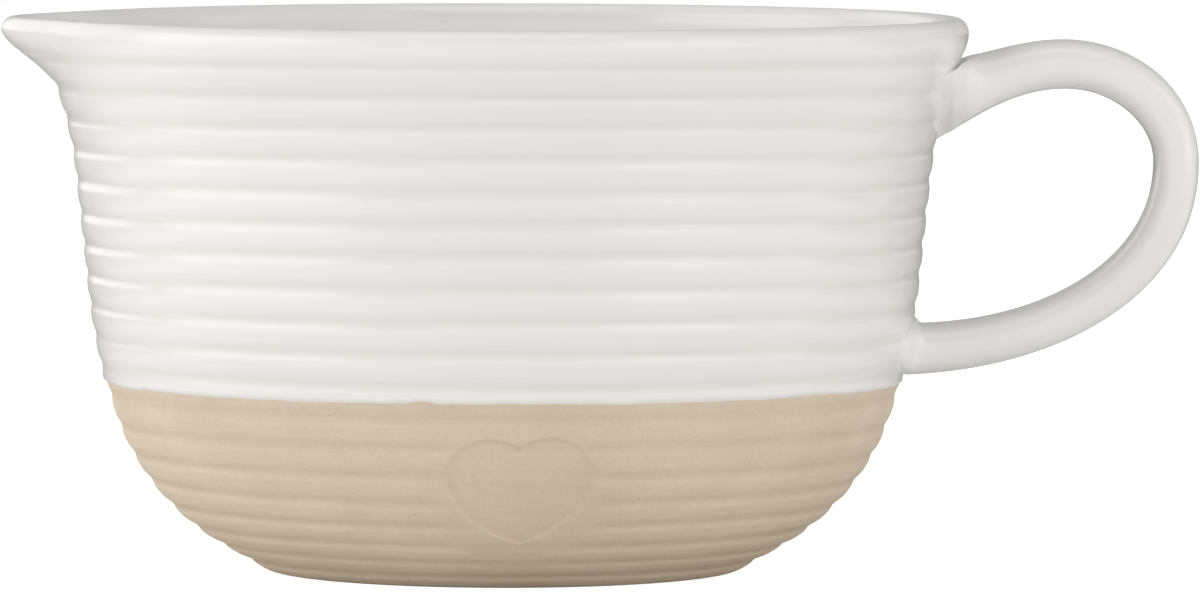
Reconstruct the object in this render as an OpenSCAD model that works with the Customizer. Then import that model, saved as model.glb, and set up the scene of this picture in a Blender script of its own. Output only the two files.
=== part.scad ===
// Batter bowl: ribbed stoneware with a pulled spout, a looped handle and a white glaze.
// The origin is the centre of the foot, +Z is up, the handle points along +X,
// the spout along -X and the stamped heart faces -Y.

/* [Bowl] */
// Outer diameter of the finished rim
rim_d = 200; // [190:1:220]
// Height of the finished rim above the table
bowl_h = 119; // [112:1:130]
// Thickness of the clay wall
wall_t = 5.5; // [4:0.1:6]
// Thickness of the glaze coats
glaze_t = 0.4; // [0.3:0.05:0.8]
// Height of the glaze line above the table
glaze_line_h = 40.5; // [30:0.5:70]

/* [Lip] */
// Height of the smooth band from the first groove to the crest
lip_band_h = 7.6; // [6:0.1:9]
// Height of the rounded top of the lip
lip_round_h = 2.7; // [2:0.1:3.5]
// Radius of the band's outward swell
lip_swell_r = 9.3; // [8:0.1:16]

/* [Wall profile] */
// Lean of the wall under the lip, from the vertical
flare_lean = 24.3; // [20:0.1:30]
// Radius of the flare under the lip
flare_r = 84; // [60:1:85]
// Lean of the straight wall
wall_lean = 6; // [4:0.1:10]
// Radius of the slow turn under the straight wall
lower_r = 147; // [120:1:170]
// Lean where the slow turn ends
lower_lean = 16.2; // [13:0.1:19]
// Radius of the quick turn towards the foot
turn_r = 50.7; // [45:0.1:58]
// Lean of the wall where it reaches the foot
foot_lean = 60.2; // [52:0.1:64]
// Height of the straight cone above the table
foot_cone_h = 5.7; // [4:0.1:8]

/* [Ribs] */
// Distance from groove to groove along the wall
rib_pitch = 6.78; // [5:0.1:9]
// Depth of a groove below its ribs
rib_depth = 0.55; // [0.3:0.05:1]

/* [Foot] */
// Width of the ring that stands on the table
foot_ring_w = 5; // [3:0.5:9]
// Height of the hollow under the bowl
foot_hollow_h = 1.5; // [1:0.1:2.5]
// Width of the slope into the hollow
foot_slope_w = 2; // [1:0.5:4]

/* [Spout] */
// How far the spout's tip reaches past the rim
spout_reach = 8.5; // [4:0.5:14]
// Height of the pulled part below the crest
spout_depth = 15.5; // [13:0.5:18]
// Height below the crest where the pull is full
spout_lip_h = 2; // [1:0.5:4]
// How much the pull stretches the wall thinner, on each side
spout_thinning = 0.1; // [0.06:0.02:0.2]
// How far the pulled wall is keyed into the wall below it
spout_key_h = 0.2; // [0.1:0.1:0.5]

/* [Handle] */
// How far the handle reaches past the rim
handle_reach = 49.4; // [42:0.2:60]
// Distance from the rim to the handle's highest point
handle_apex_reach = 20.6; // [15:0.2:25]
// Drop from the rim to the handle's middle line at its highest point
handle_top_drop = 10.2; // [4:0.2:14]
// Drop from the rim to the middle line at the outermost point
handle_side_drop = 31; // [24:0.5:39]
// Drop from the rim to the middle line at the upper root
handle_root_drop = 19.2; // [17:0.2:23]
// Height of the middle line at the lower root, above the table
handle_low_z = 48; // [45:0.5:55]
// Thickness of the handle
handle_t = 10.2; // [8:0.1:13]
// Width of the handle along its loop
handle_w = 21; // [16:0.5:26]
// Thickness gained at the upper root
handle_root_t = 6.6; // [3:0.1:8]
// Width gained at the upper root
handle_root_w = 11; // [6:0.5:14]
// Thickness gained at the lower root
handle_low_t = 1.6; // [0.5:0.1:3]
// Width gained at the lower root
handle_low_w = 4; // [2:0.5:8]

/* [Slip joints] */
// Thickness of the slip between the handle and the wall
slip_t = 1; // [0.6:0.1:2]
// How far a slip bead stands out round the handle
slip_bead = 1.6; // [1:0.1:2.5]
// Length of a slip bead along the handle, from the wall
slip_run = 4; // [2.5:0.5:6]

/* [Heart] */
// Width of the stamped heart
heart_w = 30; // [20:0.5:40]
// Height of the stamped heart, along the wall
heart_h = 27; // [18:0.5:32]
// Depth of the stamp below the middle of the ribs
heart_depth = 0.9; // [0.5:0.1:1.5]
// Height of the heart's middle above the table
heart_z = 21.5; // [18:0.5:28]
// Turn of the heart from the front towards the handle
heart_turn = 2.6; // [-10:0.1:10]

/* [Hidden] */

CLAY = "#d9c2a0";
SLIP = "#e4d9c6";
WHITE = "#f4f1ec";

// Smoothness of the model
rib_steps = 6;
arc_steps = 5;
floor_steps = 15;
spout_steps = 30;
loop_steps = 30;
section_steps = 20;
direction_step = 0.01;
$fn = 120;

// Overrun of cuts past the faces that they cut
overrun = 1;

rad = PI / 180;

// Sizes of the clay under the glaze
clay_rim_r = rim_d / 2 - glaze_t;
clay_h = bowl_h - glaze_t;
lip_round_z = clay_h - lip_round_h;
lip_base_z = clay_h - lip_band_h;
lip_swell_a = asin((lip_round_z - lip_base_z) / lip_swell_r);

// The middle of the ribbed face, from the lip's base down: flare, straight wall, two turns, cone
top_r = clay_rim_r - lip_swell_r * (1 - cos(lip_swell_a)) + rib_depth / 2;
flare_h = flare_r * (sin(flare_lean) - sin(wall_lean));
lower_h = lower_r * (sin(lower_lean) - sin(wall_lean));
turn_h = turn_r * (sin(foot_lean) - sin(lower_lean));
straight_h = lip_base_z - flare_h - lower_h - turn_h - foot_cone_h;

flare_end_s = flare_r * (flare_lean - wall_lean) * rad;
straight_end_s = flare_end_s + straight_h / cos(wall_lean);
lower_end_s = straight_end_s + lower_r * (lower_lean - wall_lean) * rad;
turn_end_s = lower_end_s + turn_r * (foot_lean - lower_lean) * rad;
foot_s = turn_end_s + foot_cone_h / cos(foot_lean);

flare_end_r = top_r - flare_r * (cos(wall_lean) - cos(flare_lean));
straight_end_r = flare_end_r - straight_h * tan(wall_lean);
lower_end_r = straight_end_r - lower_r * (cos(wall_lean) - cos(lower_lean));
turn_end_r = lower_end_r - turn_r * (cos(lower_lean) - cos(foot_lean));
foot_r = turn_end_r - foot_cone_h * tan(foot_lean);

flare_end_z = lip_base_z - flare_h;
straight_end_z = flare_end_z - straight_h;
lower_end_z = straight_end_z - lower_h;

// Centre of the flare's arc, outside the wall
flare_c = [top_r + flare_r * cos(flare_lean), lip_base_z - flare_r * sin(flare_lean)];

// Lean of the wall at a distance s along it from the lip's base
function lean(s) =
    s < flare_end_s ? flare_lean - s / flare_r / rad :
    s < straight_end_s ? wall_lean :
    s < lower_end_s ? wall_lean + (s - straight_end_s) / lower_r / rad :
    s < turn_end_s ? lower_lean + (s - lower_end_s) / turn_r / rad : foot_lean;

// Radius and height of the middle of the ribbed face at s
function wall_r(s) =
    s < flare_end_s ? top_r - flare_r * (cos(lean(s)) - cos(flare_lean)) :
    s < straight_end_s ? flare_end_r - (s - flare_end_s) * sin(wall_lean) :
    s < lower_end_s ? straight_end_r - lower_r * (cos(wall_lean) - cos(lean(s))) :
    s < turn_end_s ? lower_end_r - turn_r * (cos(lower_lean) - cos(lean(s))) :
    turn_end_r - (s - turn_end_s) * sin(foot_lean);
function wall_z(s) =
    s < flare_end_s ? lip_base_z - flare_r * (sin(flare_lean) - sin(lean(s))) :
    s < straight_end_s ? flare_end_z - (s - flare_end_s) * cos(wall_lean) :
    s < lower_end_s ? straight_end_z - lower_r * (sin(lean(s)) - sin(wall_lean)) :
    s < turn_end_s ? lower_end_z - turn_r * (sin(lean(s)) - sin(lower_lean)) :
    foot_cone_h - (s - turn_end_s) * cos(foot_lean);

// Height of the ribbed face over its middle: narrow grooves between broad round ribs
groove_share = 0.25;
function rib(s) =
    let (phase = 360 * s / rib_pitch)
    -rib_depth / 2 * (cos(phase) + groove_share * cos(2 * phase)) / (1 + groove_share);

// Point of the outer face at s, with out more clay or glaze on it
function outer_point(s, out = 0) = [wall_r(s) + (rib(s) + out) / cos(lean(s)), wall_z(s)];
// Point of the wall's middle face at s, without ribs
function plain_point(s, out) = [wall_r(s) + out / cos(lean(s)), wall_z(s)];

// Inner face of the flare at height z, deeper by in than the middle of the ribbed face
function flare_in_r(z, in) =
    let (r = flare_r + in, a = asin((z - flare_c[1]) / r))
    flare_c[0] - r * cos(a);

// Steps along the wall. The spout's zone ends at a groove, where the lower wall takes over
rib_step = rib_pitch / rib_steps;
spout_zone_ribs = ceil((spout_depth - lip_band_h) / rib_pitch);
zone_s = spout_zone_ribs * rib_pitch;
zone_z = wall_z(zone_s);
zone_steps = spout_zone_ribs * rib_steps;
foot_step = floor(foot_s / rib_step);
glaze_step = zone_steps + round((s_at(glaze_line_h) - zone_s) / rib_step);

// Distance along the wall at which its ribbed face passes the height z
function arc_s(z, top_z, top_lean, r) = r * rad * (asin(sin(top_lean) + (top_z - z) / r) - top_lean);
function s_at(z) =
    z > flare_end_z ? flare_r * rad * (flare_lean - asin((z - flare_c[1]) / flare_r)) :
    z > straight_end_z ? flare_end_s + (flare_end_z - z) / cos(wall_lean) :
    z > lower_end_z ? straight_end_s + arc_s(z, straight_end_z, wall_lean, lower_r) :
    lower_end_s + arc_s(z, lower_end_z, lower_lean, turn_r);

// Upper zone, from the zone's foot to the crest: the outer face, with out more on it
function zone_outer(out) = concat(
    [for (i = [zone_steps:-1:0]) outer_point(i * rib_step, out)],
    [for (i = [1:arc_steps])
        let (a = lip_swell_a * (1 - i / arc_steps))
        [clay_rim_r + out - lip_swell_r * (1 - cos(a)), lip_round_z - lip_swell_r * sin(a)]],
    [for (i = [1:arc_steps]) crest_point(90 * i / arc_steps, out)]);
// Upper zone, the inner face, with out more on it, at the same heights
function zone_inner(out) = concat(
    [for (p = zone_outer(0)) if (p[1] < lip_round_z - tiny) [flare_in_r(p[1], wall_t + out), p[1]]],
    [for (i = [0:arc_steps]) crest_point(180 - 90 * i / arc_steps, out)]);
// Point of the lip's round top, from 0 at its outer side over 90 at the crest to 180 inside
lip_in_r = flare_in_r(lip_round_z, wall_t);
function crest_point(a, out) =
    [(clay_rim_r + lip_in_r) / 2 + ((clay_rim_r - lip_in_r) / 2 + out) * cos(a),
     lip_round_z + (lip_round_h + out) * sin(a)];
tiny = rib_depth / 100;

function reversed(list) = [for (i = [len(list) - 1:-1:0]) list[i]];

// Loops of the upper zone, up one face and down the other, with out more on the clay's faces
function body_zone(out) = concat(zone_outer(out), reversed(zone_inner(out)));
function outer_glaze_zone(out) = concat(zone_outer(glaze_t + out), reversed(zone_outer(out)));
function inner_glaze_zone(out) = concat(zone_inner(out), reversed(zone_inner(glaze_t + out)));

// How far the pull has gone at height z, from 0 below the spout to 1 at the lip
function pull(z) =
    let (u = min(1, max(0, (z - bowl_h + spout_depth) / (spout_depth - spout_lip_h))))
    u * u * (3 - 2 * u);
// The spout's outward pull at an angle from its middle and a height
spout_half_angle = 40;
spout_power = 6;
spout_power_low = 16;
function bulge(a, z) =
    abs(a) >= spout_half_angle ? 0 :
    let (u = pull(z))
    spout_reach * u
        * pow(cos(90 * a / spout_half_angle), spout_power_low + (spout_power - spout_power_low) * u);

// A loop of the upper zone with a key that reaches down into the middle third of the wall or coat below
function keyed(loop, below) =
    let (a = below[0], b = below[len(below) - 1],
        down = -spout_key_h * [sin(lean(zone_s)), cos(lean(zone_s))])
    concat([(2 * a + b) / 3 + down], loop, [(a + 2 * b) / 3 + down]);

// A quarter of the upper zone, swept from 0 to 90 degrees, with the spout in its middle
module spout_quarter(loop) {
    n = len(loop);
    half = n / 2;
    points = [for (j = [0:spout_steps], p = loop)
        let (a = 90 * j / spout_steps, r = p[0] + bulge(a - 45, p[1]))
        [r * cos(a), r * sin(a), p[1]]];
    sides = [for (j = [0:spout_steps - 1], i = [0:n - 1], k = [0, 1])
        let (a = j * n + i, b = j * n + (i + 1) % n, c = b + n, d = a + n)
        k == 0 ? [a, b, c] : [a, c, d]];
    last = spout_steps * n;
    caps = [for (i = [0:half - 2], k = [0, 1])
        let (a = i, b = i + 1, c = n - 2 - i, d = n - 1 - i)
        k == 0 ? [a, c, b] : [a, d, c]];
    ends = [for (f = caps) if (loop[f[0]] != loop[f[1]] && loop[f[1]] != loop[f[2]]) f];
    polyhedron(points, concat(sides, ends, [for (f = ends) [f[0] + last, f[2] + last, f[1] + last]]));
}

// A coat or wall all round: the lower part and three quarters of the upper zone turned on the wheel,
// and the quarter that is pulled into the spout
module turned(lower, loop, pulled_loop)
    rotate([0, 0, 135]) {
        rotate_extrude() polygon(lower);
        rotate([0, 0, 90]) rotate_extrude(angle = 270) polygon(loop);
        spout_quarter(keyed(pulled_loop, loop));
    }

// Centre of the quick turn's arc, where the floor's round begins
turn_c = [lower_end_r - turn_r * cos(lower_lean), lower_end_z + turn_r * sin(lower_lean)];

// Point of the inner face at s, deeper by in than the middle of the ribbed face
function inner_point(s, in) =
    [wall_r(s) - in * cos(lean(s)), wall_z(s) + in * sin(lean(s))];

// Inner face of the lower wall, from the upper zone down to the middle of the floor
function inner_lower(in) = concat(
    [[flare_in_r(zone_z, in), zone_z]],
    [for (i = [0:arc_steps])
        let (p = inner_point(zone_s + (flare_end_s - zone_s) * i / arc_steps, in))
        if (p[1] < zone_z - tiny) p],
    [for (i = [0:arc_steps])
        inner_point(straight_end_s + (lower_end_s - straight_end_s) * i / arc_steps, in)],
    [for (i = [1:floor_steps])
        let (a = lower_lean + (90 - lower_lean) * i / floor_steps, r = turn_r - in)
        [turn_c[0] + r * cos(a), turn_c[1] - r * sin(a)]],
    [[0, turn_c[1] - turn_r + in]]);

// Ribbed face of the lower wall between two steps, with out more on it
function outer_lower(from, to, out = 0) = [for (i = [from:to]) outer_point(i * rib_step, out)];

foot_ring_in_r = foot_r - foot_ring_w;
function foot_outline() =
    [[foot_r, 0], [foot_ring_in_r, 0], [foot_ring_in_r - foot_slope_w, foot_hollow_h], [0, foot_hollow_h]];

module bowl_body() color(CLAY) difference() {
    turned(concat(outer_lower(zone_steps, foot_step), foot_outline(), reversed(inner_lower(wall_t))),
        body_zone(0), body_zone(-spout_thinning));
    heart_stamp();
}

// The wedge of the bowl that the handle's pieces meet, out to its ribbed face
wedge_angle = 80;
wedge_step = ceil(s_at(handle_low_z - handle_t - handle_low_t - slip_bead) / rib_step);
module ribbed_wedge()
    rotate([0, 0, -wedge_angle / 2]) rotate_extrude(angle = wedge_angle) polygon(concat(
        [[0, clay_h]], reversed(zone_outer(0)), outer_lower(zone_steps + 1, wedge_step),
        [[0, wall_z(wedge_step * rib_step)]]));
// The same wedge without ribs, out to the face that the handle's ends are cut to
module plain_wedge(out)
    rotate([0, 0, -wedge_angle / 2]) rotate_extrude(angle = wedge_angle) polygon(concat(
        [[0, lip_base_z]], [for (i = [0:wedge_step]) plain_point(i * rib_step, out)],
        [[0, wall_z(wedge_step * rib_step)]]));

// The heart's outline: a round lobe from the cleft to below its widest place, then a side that
// curves in to the blunt tip
lobe_share = 0.285;
tip_rise_share = 0.45;
lobe_steps = 14;
side_steps = 8;
lobe_r = heart_w * lobe_share;
lobe_x = heart_w / 2 - lobe_r;
tip = [0, lobe_r - heart_h];
lobe_start = 180 - acos(lobe_x / lobe_r);
lobe_end = -20;
function lobe_point(a) = [lobe_x + lobe_r * cos(a), lobe_r * sin(a)];
lobe_low = lobe_point(lobe_end);
side_reach = (lobe_low[1] - tip[1] - tip_rise_share * lobe_low[0])
    / (cos(lobe_end) + tip_rise_share * sin(lobe_end));
side_bend = lobe_low + side_reach * [sin(lobe_end), -cos(lobe_end)];
half_heart = concat(
    [for (i = [0:lobe_steps]) lobe_point(lobe_start + (lobe_end - lobe_start) * i / lobe_steps)],
    [for (i = [1:side_steps])
        let (t = i / side_steps)
        lobe_low * pow(1 - t, 2) + side_bend * 2 * t * (1 - t) + tip * t * t]);
module heart_outline() translate([0, heart_h / 2 - lobe_r])
    polygon(concat(half_heart,
        [for (i = [len(half_heart) - 2:-1:1]) [-half_heart[i][0], half_heart[i][1]]]));

// What the stamp takes off the wall: the heart's outline, down to a smooth floor that follows the wall
heart_s = s_at(heart_z);
module heart_stamp() rotate([0, 0, heart_turn]) difference() {
    translate([0, -wall_r(heart_s), heart_z]) rotate([90 + lean(heart_s), 0, 0])
        translate([0, 0, -wall_t]) linear_extrude(wall_t + rib_depth + overrun) heart_outline();
    rotate([0, 0, -90 - wedge_angle / 2]) rotate_extrude(angle = wedge_angle) polygon(concat(
        [[0, wall_z(lower_end_s)]],
        [for (s = [lower_end_s:rib_step:turn_end_s]) plain_point(s, -heart_depth)],
        [[0, foot_cone_h]]));
}

// The handle's middle line, from the upper root at u = 0 over the highest point at 1
// and the outermost point at 2 to the lower root at 3
root_inset = 10;
root_rise = 18;
root_pull = 10;
apex_pull = 12;
handle_root_z = bowl_h - handle_root_drop;
root_start = [rim_d / 2 - root_inset, handle_root_z];
apex = [rim_d / 2 + handle_apex_reach, bowl_h - handle_top_drop];
side = [rim_d / 2 + handle_reach - handle_t / 2, bowl_h - handle_side_drop];
low_end = [straight_end_r - wall_t, handle_low_z];
function bezier(a, b, c, d, t) =
    a * pow(1 - t, 3) + b * 3 * t * pow(1 - t, 2) + c * 3 * t * t * (1 - t) + d * pow(t, 3);
function loop_point(u) =
    u < 1 ? bezier(root_start, root_start + root_pull * [cos(root_rise), sin(root_rise)],
        apex - [apex_pull, 0], apex, u) :
    u < 2 ? [apex[0] + (side[0] - apex[0]) * sin(90 * (u - 1)),
        side[1] + (apex[1] - side[1]) * cos(90 * (u - 1))] :
    [low_end[0] + (side[0] - low_end[0]) * cos(90 * (u - 2)),
        side[1] - (side[1] - low_end[1]) * sin(90 * (u - 2))];
function loop_normal(u) =
    let (d = loop_point(u + direction_step) - loop_point(u - direction_step)) [-d[1], d[0]] / norm(d);

// Half thickness and half width of the handle at u
function half_t(u) = (handle_t + handle_root_t * pow(max(0, 1 - u), 3)
    + handle_low_t * pow(max(0, u - 2), 6)) / 2;
function half_w(u) = (handle_w + handle_root_w * pow(max(0, 1 - u), 2)
    + handle_low_w * pow(max(0, u - 2), 4)) / 2;

// A section of the handle: an oval with flattened sides, grown by out. Slant turns it from square
// to the loop towards the wall, and the bead stands out round it, less on the side that is bare
section_power = 2.6;
function squared(c) = sign(c) * pow(abs(c), 2 / section_power);
function section(u, out, slant = 0, bead = 0, bare = 0) =
    let (p = loop_point(u), n = loop_normal(u), t = [n[1], -n[0]])
    [for (k = [0:section_steps - 1])
        let (a = 360 * k / section_steps,
            grown = out + bead * (1 - bare * max(0, sin(a))),
            q = (half_t(u) + grown) * squared(sin(a)), y = (half_w(u) + grown) * squared(cos(a)),
            c = p + q * n + q * tan(slant) * t)
        [c[0], y, c[1]]];

// A solid through sections that follow each other along the loop
module loop_solid(sections) {
    n = section_steps;
    m = len(sections);
    sides = [for (j = [0:m - 2], k = [0:n - 1], half = [0, 1])
        let (a = j * n + k, b = j * n + (k + 1) % n, c = b + n, d = a + n)
        half == 0 ? [a, c, b] : [a, d, c]];
    start = [for (k = [1:n - 2]) [0, k, k + 1]];
    end = [for (f = start) [f[0] + (m - 1) * n, f[2] + (m - 1) * n, f[1] + (m - 1) * n]];
    polyhedron([for (one = sections, p = one) p], concat(sides, start, end));
}

// The whole loop, grown by out
module loop_strap(out) loop_solid([for (j = [0:loop_steps]) section(3 * j / loop_steps, out)]);

module handle() color(CLAY) difference() {
    loop_strap(0);
    plain_wedge(slip_t);
}

// Where the loop passes the wall's face at each root, and how far u goes per length there
upper_u_rate = 1 / (3 * root_pull * cos(root_rise));
upper_wall_u = (wall_r(s_at(handle_root_z)) - root_start[0]) * upper_u_rate;
low_u_rate = -1 / ((side[0] - low_end[0]) * 90 * rad);
low_wall_u = 3 + (wall_r(s_at(handle_low_z)) - low_end[0]) * low_u_rate;

// A bead of slip round a root, grown by out. It starts inside the wall and thins out along the loop
bead_shares = [1, 1, 0.8, 0.5];
bead_bare_share = 0.6;
module bead_solid(wall_u, u_rate, slant, bare, out) {
    runs = [-wall_t, slip_t, slip_t + slip_run / 2, slip_t + slip_run + out];
    loop_solid([for (i = u_rate > 0 ? [0:3] : [3:-1:0])
        section(wall_u + runs[i] * u_rate, out, slant, slip_bead * bead_shares[i], bare)]);
}
module upper_bead(out)
    bead_solid(upper_wall_u, upper_u_rate, root_rise + lean(s_at(handle_root_z)), bead_bare_share, out);
module lower_bead(out)
    bead_solid(low_wall_u, low_u_rate, lean(s_at(handle_low_z)), 0, out);

module upper_slip_joint() color(SLIP) difference() {
    upper_bead(0);
    ribbed_wedge();
    handle();
}

module lower_slip_joint() color(SLIP) difference() {
    lower_bead(0);
    ribbed_wedge();
    handle();
}

// The dipped coat outside, from the glaze line over the ribs to the crest, open where the handle sits
module outer_glaze() color(WHITE) difference() {
    turned(concat(outer_lower(zone_steps, glaze_step, glaze_t),
        reversed(outer_lower(zone_steps, glaze_step))),
        outer_glaze_zone(0), outer_glaze_zone(-spout_thinning));
    upper_bead(glaze_t);
    lower_bead(glaze_t);
}

// The coat inside, from the crest down over the floor
module inner_glaze() color(WHITE)
    turned(concat(inner_lower(wall_t), reversed(inner_lower(wall_t + glaze_t))),
        inner_glaze_zone(0), inner_glaze_zone(-spout_thinning));

// The coat round the handle and the slip beads
module handle_glaze() color(WHITE) difference() {
    union() {
        loop_strap(glaze_t);
        upper_bead(glaze_t);
        lower_bead(glaze_t);
    }
    loop_strap(0);
    upper_bead(0);
    lower_bead(0);
    ribbed_wedge();
}

bowl_body();
handle();
upper_slip_joint();
lower_slip_joint();
outer_glaze();
inner_glaze();
handle_glaze();
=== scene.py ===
# The looks of a ribbed stoneware batter bowl: bare clay, white glaze, looped handle and a plain studio.
# Lengths are metres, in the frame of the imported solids: the handle points along +X and the heart faces -Y.
import math

import bpy
import bmesh
import numpy as np
from bpy.props import FloatProperty, FloatVectorProperty, IntProperty, PointerProperty
from bpy.types import Operator, Panel, PropertyGroup
from mathutils import Matrix, Vector


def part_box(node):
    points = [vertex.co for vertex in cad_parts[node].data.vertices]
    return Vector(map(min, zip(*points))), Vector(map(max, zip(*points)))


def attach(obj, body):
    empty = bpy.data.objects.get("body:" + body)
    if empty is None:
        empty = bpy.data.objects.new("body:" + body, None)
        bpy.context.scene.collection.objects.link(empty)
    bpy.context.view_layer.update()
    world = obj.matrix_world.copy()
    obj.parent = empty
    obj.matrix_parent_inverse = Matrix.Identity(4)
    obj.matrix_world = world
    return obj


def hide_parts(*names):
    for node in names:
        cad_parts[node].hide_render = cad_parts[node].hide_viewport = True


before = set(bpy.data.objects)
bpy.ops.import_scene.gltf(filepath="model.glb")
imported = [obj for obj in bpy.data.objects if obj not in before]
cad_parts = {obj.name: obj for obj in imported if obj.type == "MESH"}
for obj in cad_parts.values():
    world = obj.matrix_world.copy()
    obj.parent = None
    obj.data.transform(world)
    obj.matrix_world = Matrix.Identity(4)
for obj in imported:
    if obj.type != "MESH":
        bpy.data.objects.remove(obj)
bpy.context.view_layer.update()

bl_info = {
    "name": "Ribbed Batter Bowl",
    "version": (1, 0, 0),
    "blender": (4, 5, 0),
    "location": "3D View > Sidebar > Batter Bowl",
    "description": "Makes the clay, glaze and handle of a ribbed batter bowl around its packed solids",
    "category": "Add Mesh",
}

MM = 0.001

GLAZE_LOW, GLAZE_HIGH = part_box("outer_glaze")
HANDLE_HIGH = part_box("handle_glaze")[1]


def length(name, description, default, **limits):
    """A length setting, in metres."""
    return FloatProperty(name=name, description=description, default=default, unit="LENGTH",
                         precision=5, **limits)


def angle(name, description, degrees):
    """An angle setting, given in degrees."""
    return FloatProperty(name=name, description=description, default=math.radians(degrees), unit="ROTATION")


def share(name, description, default):
    """A setting from 0 to 1."""
    return FloatProperty(name=name, description=description, default=default, min=0, max=1,
                         subtype="FACTOR")


def linear(red, green, blue):
    """A colour given as 0 to 255 display values, as the linear values that shaders use."""
    values = [v / 255 for v in (red, green, blue)]
    return tuple(v / 12.92 if v <= 0.04045 else ((v + 0.055) / 1.055) ** 2.4 for v in values)


def colour(name, description, red, green, blue):
    """A colour setting."""
    return FloatVectorProperty(name=name, description=description, subtype="COLOR", size=3, min=0, max=1,
                               default=linear(red, green, blue))


class BowlWallSettings(PropertyGroup):
    """Sizes of the thrown wall, from the lip's base down to the foot."""
    rim_radius: length("Rim radius", "Outer radius of the glazed rim", GLAZE_HIGH.y)
    height: length("Height", "Height of the glazed rim above the table", GLAZE_HIGH.z)
    thickness: length("Wall thickness", "Thickness of the clay wall", 5.5 * MM)
    glaze: length("Glaze thickness", "Thickness of the glaze coats", 0.4 * MM)
    flare_lean: angle("Flare lean", "Lean of the wall under the lip", 24.3)
    flare_radius: length("Flare radius", "Radius of the flare under the lip", 84 * MM)
    wall_lean: angle("Wall lean", "Lean of the straight wall", 6)
    slow_radius: length("Slow turn radius", "Radius of the slow turn under the straight wall", 147 * MM)
    slow_lean: angle("Slow turn lean", "Lean where the slow turn ends", 16.2)
    quick_radius: length("Quick turn radius", "Radius of the turn towards the foot", 50.7 * MM)
    foot_lean: angle("Foot lean", "Lean of the wall where it reaches the foot", 60.2)
    cone_height: length("Cone height", "Height of the straight cone above the table", 5.7 * MM)


class LipSettings(PropertyGroup):
    """Sizes of the smooth band and the round top of the lip."""
    band_height: length("Band height", "Height of the band from the first groove to the crest", 7.6 * MM)
    round_height: length("Round height", "Height of the rounded top", 2.7 * MM)
    swell_radius: length("Swell radius", "Radius of the band's outward swell", 9.3 * MM)


class RibSettings(PropertyGroup):
    """Sizes of the thrown ribs."""
    pitch: length("Pitch", "Distance from groove to groove along the wall", 6.78 * MM)
    depth: length("Depth", "Depth of a groove below its ribs", 0.55 * MM)
    groove: share("Groove sharpness", "How much narrower the grooves are than the ribs", 0.25)
    saddle: length("Saddle", "How far the ribs rise at the front and sink at the spout and handle",
                   0.65 * MM)
    saddle_low: length("Saddle foot", "Height where the saddle has faded out", 32 * MM)
    saddle_high: length("Saddle top", "Height where the saddle is full", 80 * MM)
    wander: length("Wander", "How far a rib wanders up and down", 0.12 * MM)


class SpoutSettings(PropertyGroup):
    """Sizes of the pulled spout."""
    reach: length("Reach", "How far the tip reaches past the rim", -GLAZE_LOW.x - GLAZE_HIGH.y)
    depth: length("Depth", "Height of the pulled part below the crest", 15.5 * MM)
    full_height: length("Full height", "Height below the crest where the pull is full", 2 * MM)
    half_angle: angle("Half angle", "Angle from the spout's middle to where the pull ends", 40)
    power: FloatProperty(name="Tip power", description="How narrow the spout is at its lip", default=6)
    low_power: FloatProperty(name="Throat power", description="How narrow the spout starts", default=16)


class FootSettings(PropertyGroup):
    """Sizes of the foot ring and the hollow inside it."""
    ring_width: length("Ring width", "Width of the ring that stands on the table", 5 * MM)
    hollow: length("Hollow", "Height of the hollow under the bowl", 1.5 * MM)
    slope: length("Slope", "Width of the slope into the hollow", 2 * MM)
    softness: length("Softness", "Radius of the foot's worn edges", 0.7 * MM)


class GlazeLineSettings(PropertyGroup):
    """Where the dipped glaze ends above the bare foot."""
    height: length("Height", "Height of the glaze line above the table", 40.5 * MM)
    rise: length("Rise", "How much higher the line runs at the front", 0.7 * MM)
    ripple: length("Ripple", "Unevenness of the line", 0.08 * MM)
    bead: length("Bead", "How much thicker the glaze stands at its edge", 0.12 * MM)


class HandleSettings(PropertyGroup):
    """Sizes of the looped handle."""
    thickness: length("Thickness", "Thickness of the strap's lower half", 8.7 * MM)
    taper: length("Taper", "Thickness gained over the upper half of the loop", 1.0 * MM)
    width: length("Width", "Width of the strap", 21 * MM)
    apex_reach: length("Apex reach", "Distance from the rim to the highest point", 20.6 * MM)
    side_height: length("Side height", "Height of the middle line at the outermost point", 88 * MM)
    root_height: length("Root height", "Height of the middle line at the upper root", 99.8 * MM)
    low_height: length("Low height", "Height of the middle line at the lower root", 47.5 * MM)
    root_thickness: length("Root thickness", "Thickness gained at the upper root", 7.5 * MM)
    root_width: length("Root width", "Width gained at the upper root", 11 * MM)
    low_thickness: length("Low thickness", "Thickness gained at the lower root", 1.4 * MM)
    low_width: length("Low width", "Width gained at the lower root", 4 * MM)
    root_rise: angle("Root rise", "Rise of the handle where it leaves the wall", 18)
    fullness: FloatProperty(name="Fullness",
                            description="How full the loop's lower curve is: 2 is an ellipse",
                            default=2.125, min=2, max=3)
    section_power: FloatProperty(name="Section power", description="How square the strap's section is",
                                 default=3.4, min=2, max=5)


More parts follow.
